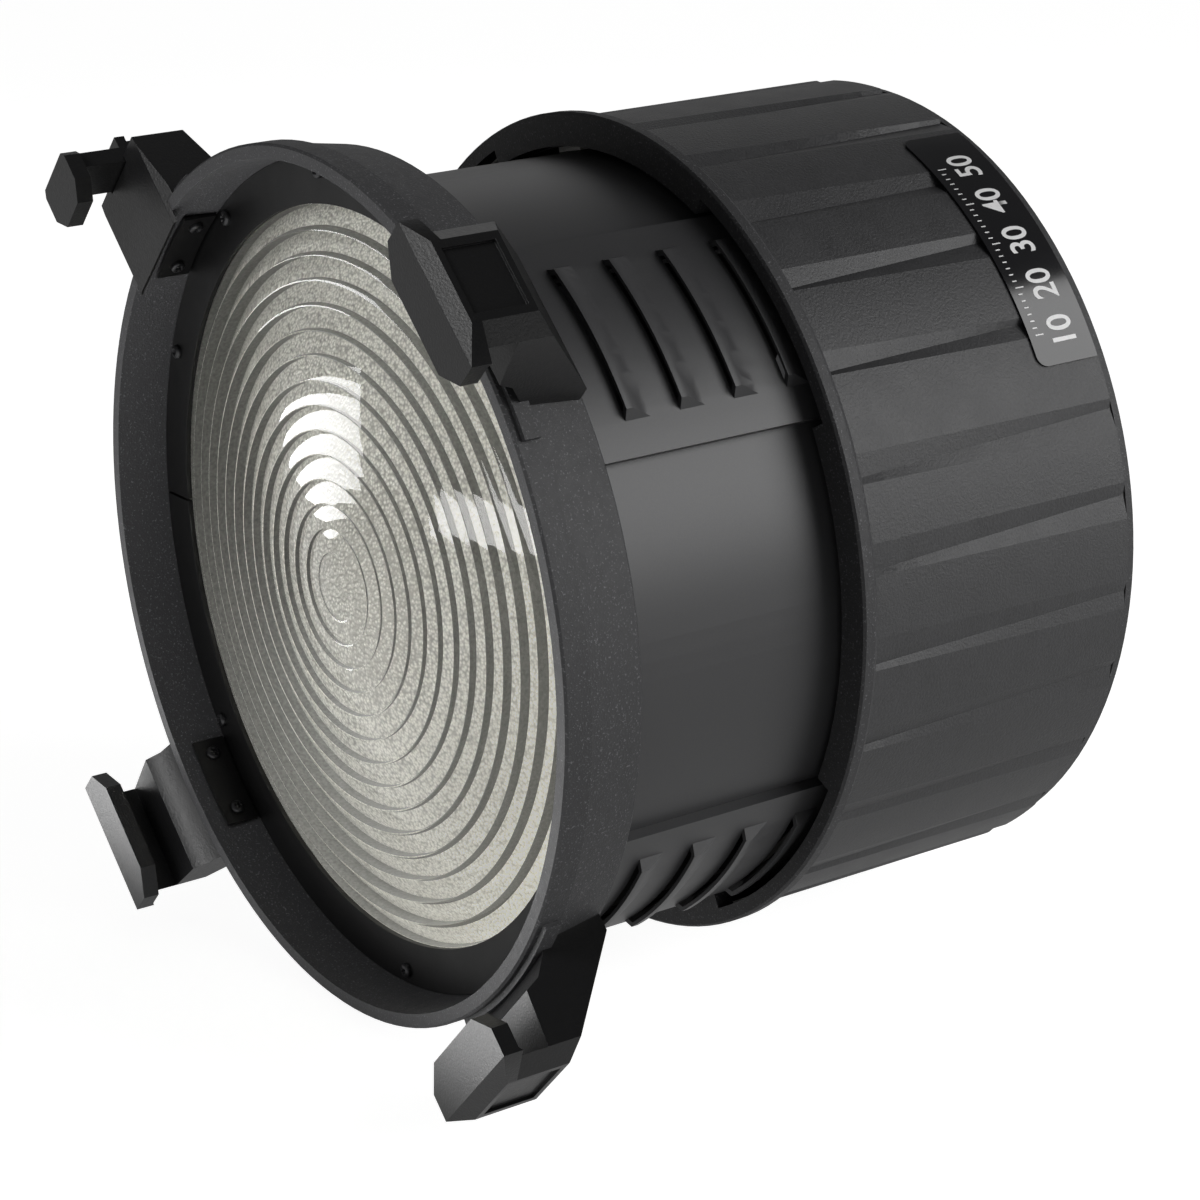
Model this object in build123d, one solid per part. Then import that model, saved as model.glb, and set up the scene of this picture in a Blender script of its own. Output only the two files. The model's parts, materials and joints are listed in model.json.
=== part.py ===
from build123d import *
import os
from math import cos, pi, radians, sin, sqrt

# A focusing fresnel spotlight: a lens barrel that slides in a drum when the drum's grip is turned.
# Everything is drawn in the optical frame: +Z forward along the light, +X right, +Y up, with the
# origin at the rear seating face. save() turns it into the part's own frame: forward is -Y, up is +Z.
# Lengths are millimetres, angles are degrees counted from +X towards up.

# ---- driving dimensions: stations along the axis -------------------------------------------------
RIM_Z = 240.0             # front rim of the bezel
BEZEL_STEP_Z = 230.6      # end of the bezel's front tier
BEZEL_REAR_Z = 209.0      # back of the bezel, where the barrel begins
RETAINER_Z = 221.3        # front face of the lens retainer
FLANGE_Z = 123.2          # front face of the drum's flange
FLANGE_BACK_Z = 116.6     # back face of the flange
DRUM_BACK_Z = 3.0         # back face of the rear plate
PLATE_FRONT_Z = 6.2       # front face of the rear plate
BARREL_END_Z = 93.0       # rear end of the barrel at the forward stop
TRAVEL = 82.0             # focus travel of the barrel, rearwards
LEAD_PER_TURN = 270.0     # barrel travel for one full turn of the grip

# ---- driving dimensions: radii ------------------------------------------------------------------
RIM_R = 149.3             # outside of the bezel's front tier
RIM_IN_R = 144.2          # mouth of the bezel
WALL_FOOT_R = 143.0       # foot of the bezel's inner wall, at the retainer
BEZEL_BACK_R = 145.2      # outside of the bezel at its back
LENS_VIEW_R = 127.0       # visible radius of the lens
LENS_R = 134.3            # full radius of the lens
LIGHT_R = 121.5           # clear radius behind the lens
BARREL_R = 130.6          # outside of the barrel tube
BARREL_WALL = 2.0
PANEL_R = 134.4           # outside of the raised vent panels
LOUVRE_R = 137.4          # crest of the louvres on them
FLANGE_R = 145.0
FLANGE_IN_R = 133.3
KEYWAY_R = 139.4          # flange cut-outs that pass the vent panels
RAIL_IN_R, RAIL_R = 132.8, 137.9
CAM_IN_R, CAM_R = 138.4, 140.2
GRIP_R = 142.3
REAR_RING_R = 141.2
INLET_R = 62.0            # bore of the rear bayonet

DIAGONALS = (45.0, 135.0, 225.0, 315.0)     # the four accessory brackets and vent panels
RAIL_ANGLES = (0.0, 90.0, 180.0, 270.0)     # the four guide rails
RUNNING = 0.05            # radial clearance of pins and screws in their holes
M2_R, M25_R, M3_R = 1.0, 1.25, 1.5    # shank radii of the three screw sizes
HEAD_R = 2.6              # radius of the pan heads
FOLLOWER_R = 2.0          # radius of the follower pins


# ---- helpers -------------------------------------------------------------------------------------
def turned(*outline, sweep=360.0, start=0.0):
    """A body of revolution about the optical axis, from (radius, z) corners."""
    face = make_face(Polyline(*[(r, 0, z) for r, z in outline], close=True))
    return Rot(0, 0, start) * revolve(face, Axis.Z, sweep)


def ring(r_in, r_out, z_low, z_high):
    return turned((r_in, z_low), (r_out, z_low), (r_out, z_high), (r_in, z_high))


def arc_block(r_in, r_out, z_low, z_high, middle, half):
    """A stretch of ring, half degrees each way from the middle angle."""
    corners = ((r_in, z_low), (r_out, z_low), (r_out, z_high), (r_in, z_high))
    return turned(*corners, sweep=2 * half, start=middle - half)


def axial_rod(radius, z_low, z_high, at_r, angle):
    """A round rod along the axis, at a polar position."""
    place = Pos(at_r * cos(radians(angle)), at_r * sin(radians(angle)), (z_low + z_high) / 2)
    return place * Cylinder(radius, z_high - z_low)


def radial_rod(radius, r_low, r_high, z, angle):
    """A round rod that points outwards, at a polar position."""
    lying = Pos((r_low + r_high) / 2, 0, z) * Rot(0, 90, 0) * Cylinder(radius, r_high - r_low)
    return Rot(0, 0, angle) * lying


def block(x_low, x_high, y_low, y_high, z_low, z_high):
    """A box between two corners."""
    centre = Pos((x_low + x_high) / 2, (y_low + y_high) / 2, (z_low + z_high) / 2)
    return centre * Box(x_high - x_low, y_high - y_low, z_high - z_low)


def side_prism(outline, half_width):
    """Extrudes a (z, height) outline across x, for a bracket that stands at 12 o'clock."""
    face = make_face(Polyline(*[(0, y, z) for z, y in outline], close=True))
    return extrude(face, half_width, dir=(1, 0, 0), both=True)


def front_prism(outline, z_low, z_high):
    """Extrudes an (x, height) outline along the axis."""
    face = make_face(Polyline(*[(x, y, z_low) for x, y in outline], close=True))
    return extrude(face, z_high - z_low, dir=(0, 0, 1))


def mirrored(half):
    """Completes a symmetric (x, height) outline from its right half, listed upwards."""
    return list(half) + [(-x, y) for x, y in reversed(half)]


def save(name, *solids):
    """Writes one node, turned into the part's own frame."""
    pieces = [solid for shape in solids for solid in (Rot(90, 0, 0) * shape).solids()]
    export_step(pieces[0] if len(pieces) == 1 else Compound(children=pieces), f"parts/{name}.step")


os.makedirs("parts", exist_ok=True)

# ---- bayonet ring: a bore for the lamp, a seating land, and three lugs -----------------------------
BAYONET_R = 80.0
LAND_IN_R = 76.0          # the seating land is clear of the lugs
SPIGOT_R, SPIGOT_Z = 67.5, -9.0
LUG_R, LUG_TOP_Z, LUG_HALF = 73.5, -5.5, 18.0
LUG_ANGLES = (90.0, 210.0, 330.0)
BAYONET_SCREW_R = 71.6
bayonet_screw_angles = [lug + 60 + side for lug in LUG_ANGLES for side in (-18, 18)]
PILOT_R = 63.9            # register in the rear plate's bore

bayonet = turned(
    (INLET_R, SPIGOT_Z), (SPIGOT_R, SPIGOT_Z), (SPIGOT_R, 0.8), (LAND_IN_R, 0.8), (LAND_IN_R, 0),
    (BAYONET_R, 0), (BAYONET_R, DRUM_BACK_Z), (PILOT_R, DRUM_BACK_Z), (PILOT_R, PLATE_FRONT_Z),
    (INLET_R, PLATE_FRONT_Z),
)
for angle in LUG_ANGLES:
    bayonet += arc_block(SPIGOT_R - 0.5, LUG_R, SPIGOT_Z, LUG_TOP_Z, angle, LUG_HALF)
bayonet_screws = []
for angle in bayonet_screw_angles:
    bayonet -= axial_rod(M3_R + RUNNING, 0, DRUM_BACK_Z + 1, BAYONET_SCREW_R, angle)
    head = axial_rod(HEAD_R, -1.0, 0.8, BAYONET_SCREW_R, angle)
    bayonet_screws.append(head + axial_rod(M3_R, 0.5, 5.6, BAYONET_SCREW_R, angle))
save("bayonet_ring", bayonet)
save("bayonet_screws", *bayonet_screws)

# ---- rear plate, with the tie bolts that clamp plate, guide rails and flange together --------------
TIE_R = 135.35
TIE_OFFSET = 19.0         # degrees each side of a rail's middle
TIE_HEAD_Z = 5.0
TIE_END_Z = FLANGE_BACK_Z + 3.4
TIE_HOLE_R = 1.6
tie_angles = [rail + side for rail in RAIL_ANGLES for side in (-TIE_OFFSET, TIE_OFFSET)]

rear_plate = ring(PILOT_R + RUNNING, RAIL_R, DRUM_BACK_Z, PLATE_FRONT_Z)
tie_bolts = []
for angle in tie_angles:
    rear_plate -= axial_rod(TIE_HOLE_R, DRUM_BACK_Z, PLATE_FRONT_Z, TIE_R, angle)
    rear_plate -= axial_rod(2.9, DRUM_BACK_Z, TIE_HEAD_Z, TIE_R, angle)
    head = axial_rod(2.3, DRUM_BACK_Z + 0.1, TIE_HEAD_Z, TIE_R, angle)
    tie_bolts.append(head + axial_rod(M3_R, TIE_HEAD_Z - 0.5, TIE_END_Z, TIE_R, angle))
for angle in bayonet_screw_angles:
    rear_plate -= axial_rod(M3_R + RUNNING, DRUM_BACK_Z, PLATE_FRONT_Z, BAYONET_SCREW_R, angle)
save("rear_plate", rear_plate)
save("tie_bolts", *tie_bolts)

# ---- rear ring: fixed trim round the plate, with a witness notch -----------------------------------
NOTCH_ANGLE = 27.8
GLIDE_SEAT_Z = 6.3        # step that carries the rear glide ring
rear_ring = turned(
    (RAIL_R + 0.1, 3.3), (139.8, 3.3), (140.9, 4.3), (REAR_RING_R, 7.3), (140.3, 7.3),
    (140.3, GLIDE_SEAT_Z), (RAIL_R + 0.1, GLIDE_SEAT_Z),
)
rear_ring -= Rot(0, 0, NOTCH_ANGLE) * block(139.9, 143, -0.8, 0.8, 3, 5.4)
save("rear_ring", rear_ring)

# ---- front flange: collar with a keyway for each vent panel ----------------------------------------
KEYWAY_HALF = 18.6
flange = turned(
    (FLANGE_IN_R, FLANGE_BACK_Z), (143.2, FLANGE_BACK_Z), (FLANGE_R, 118.8), (FLANGE_R, 122.4),
    (144.2, FLANGE_Z), (FLANGE_IN_R, FLANGE_Z),
)
for angle in DIAGONALS:
    flange -= arc_block(FLANGE_IN_R - 1, KEYWAY_R, FLANGE_BACK_Z - 1, FLANGE_Z + 1, angle, KEYWAY_HALF)
for angle in tie_angles:
    flange -= axial_rod(M3_R + RUNNING, FLANGE_BACK_Z, TIE_END_Z + 0.3, TIE_R, angle)
save("front_flange", flange)

# ---- guide rails: four fixed segments whose slots keep the barrel from turning ---------------------
RAIL_HALF = 25.0
PIN_Z = BARREL_END_Z + 6  # follower pins at the forward stop
SLOT_HALF = 4.0
SLOT_OVERRUN = 4.4        # slot length past a follower's centre, at both ends

guide_rails = []
for angle in RAIL_ANGLES:
    rail = arc_block(RAIL_IN_R, RAIL_R, PLATE_FRONT_Z, FLANGE_BACK_Z, angle, RAIL_HALF)
    slot_ends = (PIN_Z - TRAVEL - SLOT_OVERRUN, PIN_Z + SLOT_OVERRUN)
    rail -= Rot(0, 0, angle) * block(RAIL_IN_R - 5, RAIL_R + 5, -SLOT_HALF, SLOT_HALF, *slot_ends)
    for side in (-TIE_OFFSET, TIE_OFFSET):
        rail -= axial_rod(TIE_HOLE_R, PLATE_FRONT_Z - 1, FLANGE_BACK_Z + 1, TIE_R, angle + side)
    guide_rails.append(rail)
save("guide_rails", *guide_rails)

# ---- glide pads and glide rings --------------------------------------------------------------------
PAD_OFFSET, PAD_HALF = 11.0, 3.0
pad_angles = [rail + side for rail in RAIL_ANGLES for side in (-PAD_OFFSET, PAD_OFFSET)]
save("front_glide_pads", *[
    arc_block(BARREL_R + 0.3, RAIL_IN_R - 0.01, 106.5, 115.5, angle, PAD_HALF) for angle in pad_angles
])
save("rear_glide_pads", *[
    arc_block(BARREL_R + 0.01, RAIL_IN_R - 0.3, BARREL_END_Z + 1, BARREL_END_Z + 11, angle, PAD_HALF)
    for angle in pad_angles
])
CAM_Z_LOW, CAM_Z_HIGH = 8.0, 115.2
save("front_glide_ring", ring(CAM_IN_R + 0.2, CAM_R - 0.1, CAM_Z_HIGH + 0.2, FLANGE_BACK_Z))
save("rear_glide_ring", ring(CAM_IN_R + 0.2, CAM_R - 0.1, GLIDE_SEAT_Z, CAM_Z_LOW - 0.2))

# ---- cam sleeve: a helical slot for each follower turns grip rotation into barrel travel -----------
CAM_MID_R = (CAM_IN_R + CAM_R) / 2
path_slope = LEAD_PER_TURN / (2 * pi * CAM_MID_R)
overrun_z = SLOT_OVERRUN * path_slope / sqrt(1 + path_slope ** 2)
slot_height = TRAVEL + 2 * overrun_z
slot_start_z = PIN_Z - TRAVEL - overrun_z
slot_start_angle = (TRAVEL + overrun_z) / LEAD_PER_TURN * 360
cam_path = Helix(LEAD_PER_TURN, slot_height, CAM_MID_R, lefthand=True)
cam_cutter = sweep((cam_path ^ 0) * Circle(SLOT_HALF), path=cam_path)

cam_sleeve = ring(CAM_IN_R, CAM_R, CAM_Z_LOW, CAM_Z_HIGH)
for angle in RAIL_ANGLES:
    cam_sleeve -= Pos(0, 0, slot_start_z) * Rot(0, 0, angle + slot_start_angle) * cam_cutter
save("cam_sleeve", cam_sleeve)

# ---- rubber grip round the cam sleeve, and the dial label on it ------------------------------------
GRIP_Z_LOW, GRIP_Z_HIGH = 7.6, 116.4
save("grip_sleeve", ring(CAM_R + 0.02, GRIP_R, GRIP_Z_LOW, GRIP_Z_HIGH))
LABEL_ANGLE, LABEL_HALF, LABEL_Z_LOW, LABEL_Z_HIGH = 47.0, 19.8, 9.0, 34.0
save("dial_label", arc_block(
    GRIP_R + 0.02, GRIP_R + 0.7, LABEL_Z_LOW, LABEL_Z_HIGH, LABEL_ANGLE, LABEL_HALF
))

# ---- barrel tube: front flange inside, vent windows under the panels -------------------------------
TUBE_FLANGE_Z = 204.0
PANEL_HALF = 17.4
PANEL_Z_LOW, PANEL_Z_HIGH = 104.0, BEZEL_REAR_Z - 0.2
WINDOW_HALF, WINDOW_Z_LOW, WINDOW_Z_HIGH = 12.0, 116.0, 194.0
tube_in_r = BARREL_R - BARREL_WALL
TUBE_SCREW_R = 125.6
tube_screw_angles = [22.5 + 45 * k for k in range(8)]
panel_screw_spots = [
    (diagonal + side, z) for diagonal in DIAGONALS for side in (-15.2, 15.2) for z in (112.0, 200.0)
]

tube = turned(
    (tube_in_r, BARREL_END_Z), (BARREL_R, BARREL_END_Z), (BARREL_R, BEZEL_REAR_Z), (LIGHT_R, BEZEL_REAR_Z),
    (LIGHT_R, TUBE_FLANGE_Z), (tube_in_r, TUBE_FLANGE_Z),
)
for angle in DIAGONALS:
    tube -= arc_block(tube_in_r - 1, BARREL_R + 1, WINDOW_Z_LOW, WINDOW_Z_HIGH, angle, WINDOW_HALF)
for angle in RAIL_ANGLES:
    tube -= radial_rod(FOLLOWER_R + RUNNING, tube_in_r - 2, BARREL_R + 2, PIN_Z, angle)
for angle in tube_screw_angles:
    tube -= axial_rod(M3_R + RUNNING, TUBE_FLANGE_Z, BEZEL_REAR_Z, TUBE_SCREW_R, angle)
for angle, z in panel_screw_spots:
    tube -= radial_rod(M2_R + RUNNING, tube_in_r - 2, BARREL_R + 2, z, angle)
save("barrel_tube", tube)

# ---- stiffening ring, follower pins and their rollers ----------------------------------------------
STIFFENER_R = (124.5, tube_in_r - 0.02)
stiffener = ring(*STIFFENER_R, BARREL_END_Z, BARREL_END_Z + 12)
for angle in RAIL_ANGLES:
    stiffener -= radial_rod(FOLLOWER_R + RUNNING, 120, 132, PIN_Z, angle)
save("barrel_stiffener", stiffener)
save("follower_pins", *[
    radial_rod(FOLLOWER_R, STIFFENER_R[0] + 0.2, CAM_R - 0.2, PIN_Z, angle) for angle in RAIL_ANGLES
])
ROLLER_R = SLOT_HALF - 0.35


def roller(r_low, r_high, angle):
    """A plain roller that turns on a follower pin."""
    bore = radial_rod(FOLLOWER_R + RUNNING, r_low - 1, r_high + 1, PIN_Z, angle)
    return radial_rod(ROLLER_R, r_low, r_high, PIN_Z, angle) - bore


save("guide_rollers", *[roller(RAIL_IN_R + 0.2, RAIL_R - 0.3, angle) for angle in RAIL_ANGLES])
save("cam_rollers", *[roller(CAM_IN_R - 0.2, CAM_R - 0.3, angle) for angle in RAIL_ANGLES])

# ---- vent panels: raised trays with four forward-facing louvres each -------------------------------
PANEL_SKIN = 1.2
LOUVRE_HALF = 12.4
LOUVRE_LENGTH, LOUVRE_PITCH, FIRST_LOUVRE_Z = 9.5, 20.8, 190.5
LOUVRE_CREST = 2.5        # flat stretch behind the opening
louvre_fronts = [FIRST_LOUVRE_Z - LOUVRE_PITCH * k for k in range(4)]


def louvre_hood(z, grow, middle, half):
    """The hood's outer shape, or with grow set to minus the skin, the air space under it."""
    crest, root = LOUVRE_R + grow, PANEL_R - PANEL_SKIN - 0.3
    tail = z - LOUVRE_LENGTH - grow
    hood = turned(
        (root, z), (crest, z), (crest, z - LOUVRE_CREST), (PANEL_R + grow, tail), (root, tail),
        sweep=2 * half, start=middle - half,
    )
    for side in (-1, 1):
        slope = Rot(0, 0, middle + side * half) * Pos(PANEL_R + grow, 0, z) * Rot(0, 0, 45 * side)
        hood -= slope * block(0, 12, -12, 12, -2 * LOUVRE_LENGTH, LOUVRE_LENGTH)
    return hood


def vent_panel(middle):
    panel = arc_block(BARREL_R + 0.02, PANEL_R, PANEL_Z_LOW, PANEL_Z_HIGH, middle, PANEL_HALF)
    panel -= arc_block(
        BARREL_R - 1, PANEL_R - PANEL_SKIN, WINDOW_Z_LOW - 1, WINDOW_Z_HIGH + 1, middle, WINDOW_HALF + 1
    )
    for z in louvre_fronts:
        panel += louvre_hood(z, 0, middle, LOUVRE_HALF)
        panel -= louvre_hood(z, -PANEL_SKIN, middle, LOUVRE_HALF - 0.6)
    for angle, z in panel_screw_spots:
        panel -= radial_rod(M2_R + RUNNING, BARREL_R - 1, PANEL_R - 0.8, z, angle)
    return panel


VENT_NAMES = ("top_right", "top_left", "bottom_left", "bottom_right")
for place, angle in zip(VENT_NAMES, DIAGONALS):
    save(f"vent_panel_{place}", vent_panel(angle))
save("panel_screws", *[
    radial_rod(2.0, tube_in_r - 1.5, tube_in_r - 0.05, z, angle)
    + radial_rod(M2_R, tube_in_r - 1, PANEL_R - 1.0, z, angle)
    for angle, z in panel_screw_spots
])

# ---- front bezel: two-tier housing of the lens, with a bracket seat on each diagonal ---------------
LEDGE_Z = 213.0           # back wall's front face, behind the lens
RETAINER_BACK_Z = 219.3
LENS_POCKET_R = 134.8
SEAT_R, SEAT_HALF = 151.2, 13.8
BRACKET_SCREW_Z, BRACKET_SCREW_OFFSET = 228.2, 4.7
RETAINER_SCREW_R = 138.0
retainer_screw_angles = (36, 96, 126, 156, 216, 276, 306, 336)
bracket_screw_angles = [diagonal + side for diagonal in DIAGONALS
                        for side in (-BRACKET_SCREW_OFFSET, BRACKET_SCREW_OFFSET)]

bezel = turned(
    (RIM_R, RIM_Z - 0.8), (RIM_R - 0.8, RIM_Z), (RIM_IN_R, RIM_Z), (WALL_FOOT_R, RETAINER_Z),
    (WALL_FOOT_R, RETAINER_BACK_Z), (LENS_POCKET_R, RETAINER_BACK_Z), (LENS_POCKET_R, LEDGE_Z),
    (LIGHT_R, LEDGE_Z), (LIGHT_R, BEZEL_REAR_Z), (BEZEL_BACK_R - 0.8, BEZEL_REAR_Z),
    (BEZEL_BACK_R, BEZEL_REAR_Z + 0.8), (RIM_R - 1.0, BEZEL_STEP_Z), (RIM_R, BEZEL_STEP_Z),
)
for angle in DIAGONALS:
    bezel += arc_block(RIM_R - 1, SEAT_R, 231.6, 237.4, angle, SEAT_HALF)
bezel_envelope = bezel + ring(100, RIM_IN_R + 1, BEZEL_REAR_Z, RIM_Z)
for angle in bracket_screw_angles:
    bezel -= radial_rod(M3_R + RUNNING, 140, 153, BRACKET_SCREW_Z, angle)
for angle in retainer_screw_angles:
    bezel -= axial_rod(M25_R + RUNNING, 212, RETAINER_Z, RETAINER_SCREW_R, angle)
for angle in tube_screw_angles:
    bezel -= axial_rod(M3_R + RUNNING, BEZEL_REAR_Z - 1, LEDGE_Z + 1, TUBE_SCREW_R, angle)
    bezel -= axial_rod(2.9, LEDGE_Z - 2.1, LEDGE_Z + 1, TUBE_SCREW_R, angle)
save("front_bezel", bezel)
save("tube_screws", *[
    axial_rod(2.7, LEDGE_Z - 2.0, LEDGE_Z - 0.1, TUBE_SCREW_R, angle)
    + axial_rod(M3_R, TUBE_FLANGE_Z, LEDGE_Z - 1, TUBE_SCREW_R, angle)
    for angle in tube_screw_angles
])

# ---- lens: stepped front on a gentle dome, flat back, held between a gasket and a split retainer ----
LENS_BACK_Z, LENS_EDGE_Z = 214.4, 219.1
DOME_EDGE_Z, DOME_RISE = 219.6, 12.4
RING_PITCH, RING_COUNT = 8.2, 14
CENTRE_STEP, STEP_GROWTH = 0.6, 2.8    # riser at the axis, and what it gains out to the rim


def dome_z(r):
    return DOME_EDGE_Z + DOME_RISE * (1 - (r / LENS_VIEW_R) ** 2)


ring_edges = [LENS_VIEW_R - 0.6 - RING_PITCH * (RING_COUNT - k) for k in range(RING_COUNT + 1)]
lens_outline = [
    (0, LENS_BACK_Z), (LENS_R, LENS_BACK_Z), (LENS_R, LENS_EDGE_Z), (ring_edges[-1], LENS_EDGE_Z)
]
for inner, outer in zip(reversed(ring_edges[:-1]), reversed(ring_edges[1:])):
    half_step = (CENTRE_STEP + STEP_GROWTH * outer / LENS_VIEW_R) / 2
    lens_outline += [(outer, dome_z(outer) - half_step), (inner, dome_z(inner) + half_step)]
lens_outline += [(0, dome_z(0) + CENTRE_STEP)]
save("fresnel_lens", turned(*lens_outline))
save("lens_gasket", ring(129.5, 134.4, LEDGE_Z, LENS_BACK_Z))

split = block(-160, 160, -0.4, 0.4, 200, 240)
retainer = ring(LENS_VIEW_R, WALL_FOOT_R - 0.15, RETAINER_BACK_Z, RETAINER_Z)
for angle in retainer_screw_angles:
    retainer -= axial_rod(M25_R + RUNNING, 215, 225, RETAINER_SCREW_R, angle)
retainer_halves = sorted((retainer - split).solids(), key=lambda half: half.center().Y)
save("lens_retainer_lower", retainer_halves[0])
save("lens_retainer_upper", retainer_halves[1])
save("retainer_screws", *[
    axial_rod(HEAD_R, RETAINER_Z, RETAINER_Z + 1.9, RETAINER_SCREW_R, angle)
    + axial_rod(M25_R, 213, RETAINER_Z + 1, RETAINER_SCREW_R, angle)
    for angle in retainer_screw_angles
])

# ---- bracket fasteners: a backing plate inside the wall and two screws for each bracket ------------
PLATE_R = (141.75, 142.95)
plates = []
for diagonal in DIAGONALS:
    plate = arc_block(*PLATE_R, 222.0, 234.5, diagonal, 7.0)
    for side in (-BRACKET_SCREW_OFFSET, BRACKET_SCREW_OFFSET):
        plate -= radial_rod(M3_R + RUNNING, 140, 144, BRACKET_SCREW_Z, diagonal + side)
    plates.append(plate)
save("backing_plates", *plates)
save("bracket_screws", *[
    radial_rod(HEAD_R, PLATE_R[0] - 2.0, PLATE_R[0] - 0.05, BRACKET_SCREW_Z, angle)
    + radial_rod(M3_R, PLATE_R[0] - 1, 158.0, BRACKET_SCREW_Z, angle)
    for angle in bracket_screw_angles
])

# ---- accessory brackets: hooks that hold a plate in front of the bezel, drawn at 12 o'clock --------
LIP_FRONT_Z, LIP_BACK_Z = 264.0, 258.0
LEG_FRONT_Z = 245.5       # the accessory channel lies between the leg and the lip
ROOF_H, ROOF_FLOOR_H, LIP_END_H = 183.3, 178.0, 161.0


def bracket_holes(diagonal):
    """The blind holes of one bracket's two screws, seen with that bracket turned to 12 o'clock."""
    return [radial_rod(M3_R + RUNNING, 140, 158.5, BRACKET_SCREW_Z, 90 + side)
            for side in (-BRACKET_SCREW_OFFSET, BRACKET_SCREW_OFFSET)]


def hook_bracket():
    side_view = [
        (LIP_FRONT_Z, LIP_END_H), (LIP_FRONT_Z, ROOF_FLOOR_H), (260.5, ROOF_H), (237.5, ROOF_H),
        (210.5, 149.0), (210.5, 138.0), (234.9, 138.0), (234.9, 149.6), (240.0, 156.8),
        (LEG_FRONT_Z, 159.6), (LEG_FRONT_Z, ROOF_FLOOR_H), (257.0, ROOF_FLOOR_H), (LIP_BACK_Z, 176.6),
        (LIP_BACK_Z, LIP_END_H),
    ]
    leg_view = mirrored([(24.6, 138.0), (24.6, 150.0), (20.8, ROOF_FLOOR_H), (14.5, ROOF_H)])
    lip_view = mirrored([(17.0, LIP_END_H), (26.0, 168.4), (26.0, ROOF_FLOOR_H), (14.5, ROOF_H)])
    plan = front_prism(leg_view, 205, 257.2) + front_prism(lip_view, 257.0, LIP_FRONT_Z)
    hook = side_prism(side_view, 30) & plan
    hook -= block(-11.7, 11.7, ROOF_H - 1.2, ROOF_H + 1, 239.7, 258.3)
    return hook - Rot(0, 0, 45) * bezel_envelope


hook = hook_bracket()
for hole in bracket_holes(90):
    hook -= hole
for place, angle in (("top_right", 45.0), ("bottom_left", 225.0), ("bottom_right", 315.0)):
    save(f"hook_bracket_{place}", Rot(0, 0, angle - 90) * hook)

# ---- latch bracket: a sprung hook that is pulled outwards to let an accessory in -------------------
LATCH_ANGLE = 135.0
LATCH_TRAVEL = 10.0
POCKET_Z = (226.8, 239.2)
PIN_AT_Z = sum(POCKET_Z) / 2
BODY_TOP_H = 176.2
POCKET_FLOOR_H = 155.8
GUIDE_PIN_R = 2.0
PIN_HEAD_R, PIN_HEAD_H = 3.9, (177.0, 179.4)


def at_latch(shape):
    return Rot(0, 0, LATCH_ANGLE - 90) * shape


def upright(radius, low, high, x=0.0, z=PIN_AT_Z):
    """A round rod that stands outwards in the latch, drawn at 12 o'clock."""
    return Pos(x, (low + high) / 2, z) * Rot(90, 0, 0) * Cylinder(radius, high - low)


body_side = [(241.0, 138.0), (241.0, BODY_TOP_H), (221.0, BODY_TOP_H), (213.5, 150.0), (213.5, 138.0)]
body_front = mirrored([(24.6, 138.0), (24.2, 152.0), (20.0, BODY_TOP_H)])
latch_body = side_prism(body_side, 30) & front_prism(body_front, 205, 245)
for side in (-1, 1):
    corner = Pos(side * 24.0, 160, 243.5) * Rot(0, side * 35, 0) * Box(12, 60, 8)
    latch_body -= corner
latch_body -= block(-8.3, 8.3, POCKET_FLOOR_H, BODY_TOP_H + 1, *POCKET_Z)
latch_body -= block(-9.4, 9.4, 173.4, BODY_TOP_H + 1, POCKET_Z[1] - 0.5, 242)
latch_body -= upright(GUIDE_PIN_R + RUNNING, 151.6, POCKET_FLOOR_H + 1)
latch_body -= Rot(0, 0, 45) * bezel_envelope
for hole in bracket_holes(90):
    latch_body -= hole
save("latch_bracket", at_latch(latch_body))
guide_pin = upright(GUIDE_PIN_R, 151.8, PIN_HEAD_H[0] + 0.5) + upright(PIN_HEAD_R, *PIN_HEAD_H)
save("latch_guide_pin", at_latch(guide_pin))

TONGUE_Z = (POCKET_Z[0] + 0.3, POCKET_Z[1] - 0.3)
ARM_H = (174.0, 180.0)
BORE_FLOOR_H = 162.0
hook_face = mirrored([(7.0, LIP_END_H), (12.5, 167.4), (12.5, 177.6), (10.6, ARM_H[1])])
latch_hook = block(-8.0, 8.0, POCKET_FLOOR_H + 0.4, ARM_H[1], *TONGUE_Z)
latch_hook += block(-9.0, 9.0, *ARM_H, TONGUE_Z[1] - 0.1, LIP_BACK_Z + 1)
latch_hook += front_prism(hook_face, LIP_BACK_Z, LIP_FRONT_Z)
latch_hook -= upright(4.2, BORE_FLOOR_H, ARM_H[1] + 1)
latch_hook -= upright(GUIDE_PIN_R + 0.08, POCKET_FLOOR_H - 1, BORE_FLOOR_H + 1)
tab_screw_spots = ((-6.2, TONGUE_Z[0] + 1.7), (6.2, TONGUE_Z[1] - 1.7))
thumb_tab = block(-7.6, 7.6, ARM_H[1], 183.2, 226.6, 240.2)
thumb_tab += block(-7.6, 7.6, 183.0, 185.5, 236.4, 240.2)
tab_screws = []
for x, z in tab_screw_spots:
    latch_hook -= upright(0.9 + RUNNING, 174, ARM_H[1] + 1, x, z)
    thumb_tab -= upright(0.9 + RUNNING, 179, 186, x, z)
    thumb_tab -= upright(1.4, 182.2, 186, x, z)
    tab_screws.append(upright(0.9, 174.2, 182.4, x, z) + upright(1.3, 182.2, 183.1, x, z))
save("latch_hook", at_latch(latch_hook))
save("latch_thumb_tab", at_latch(thumb_tab))
save("tab_screws", *[at_latch(screw) for screw in tab_screws])

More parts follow.
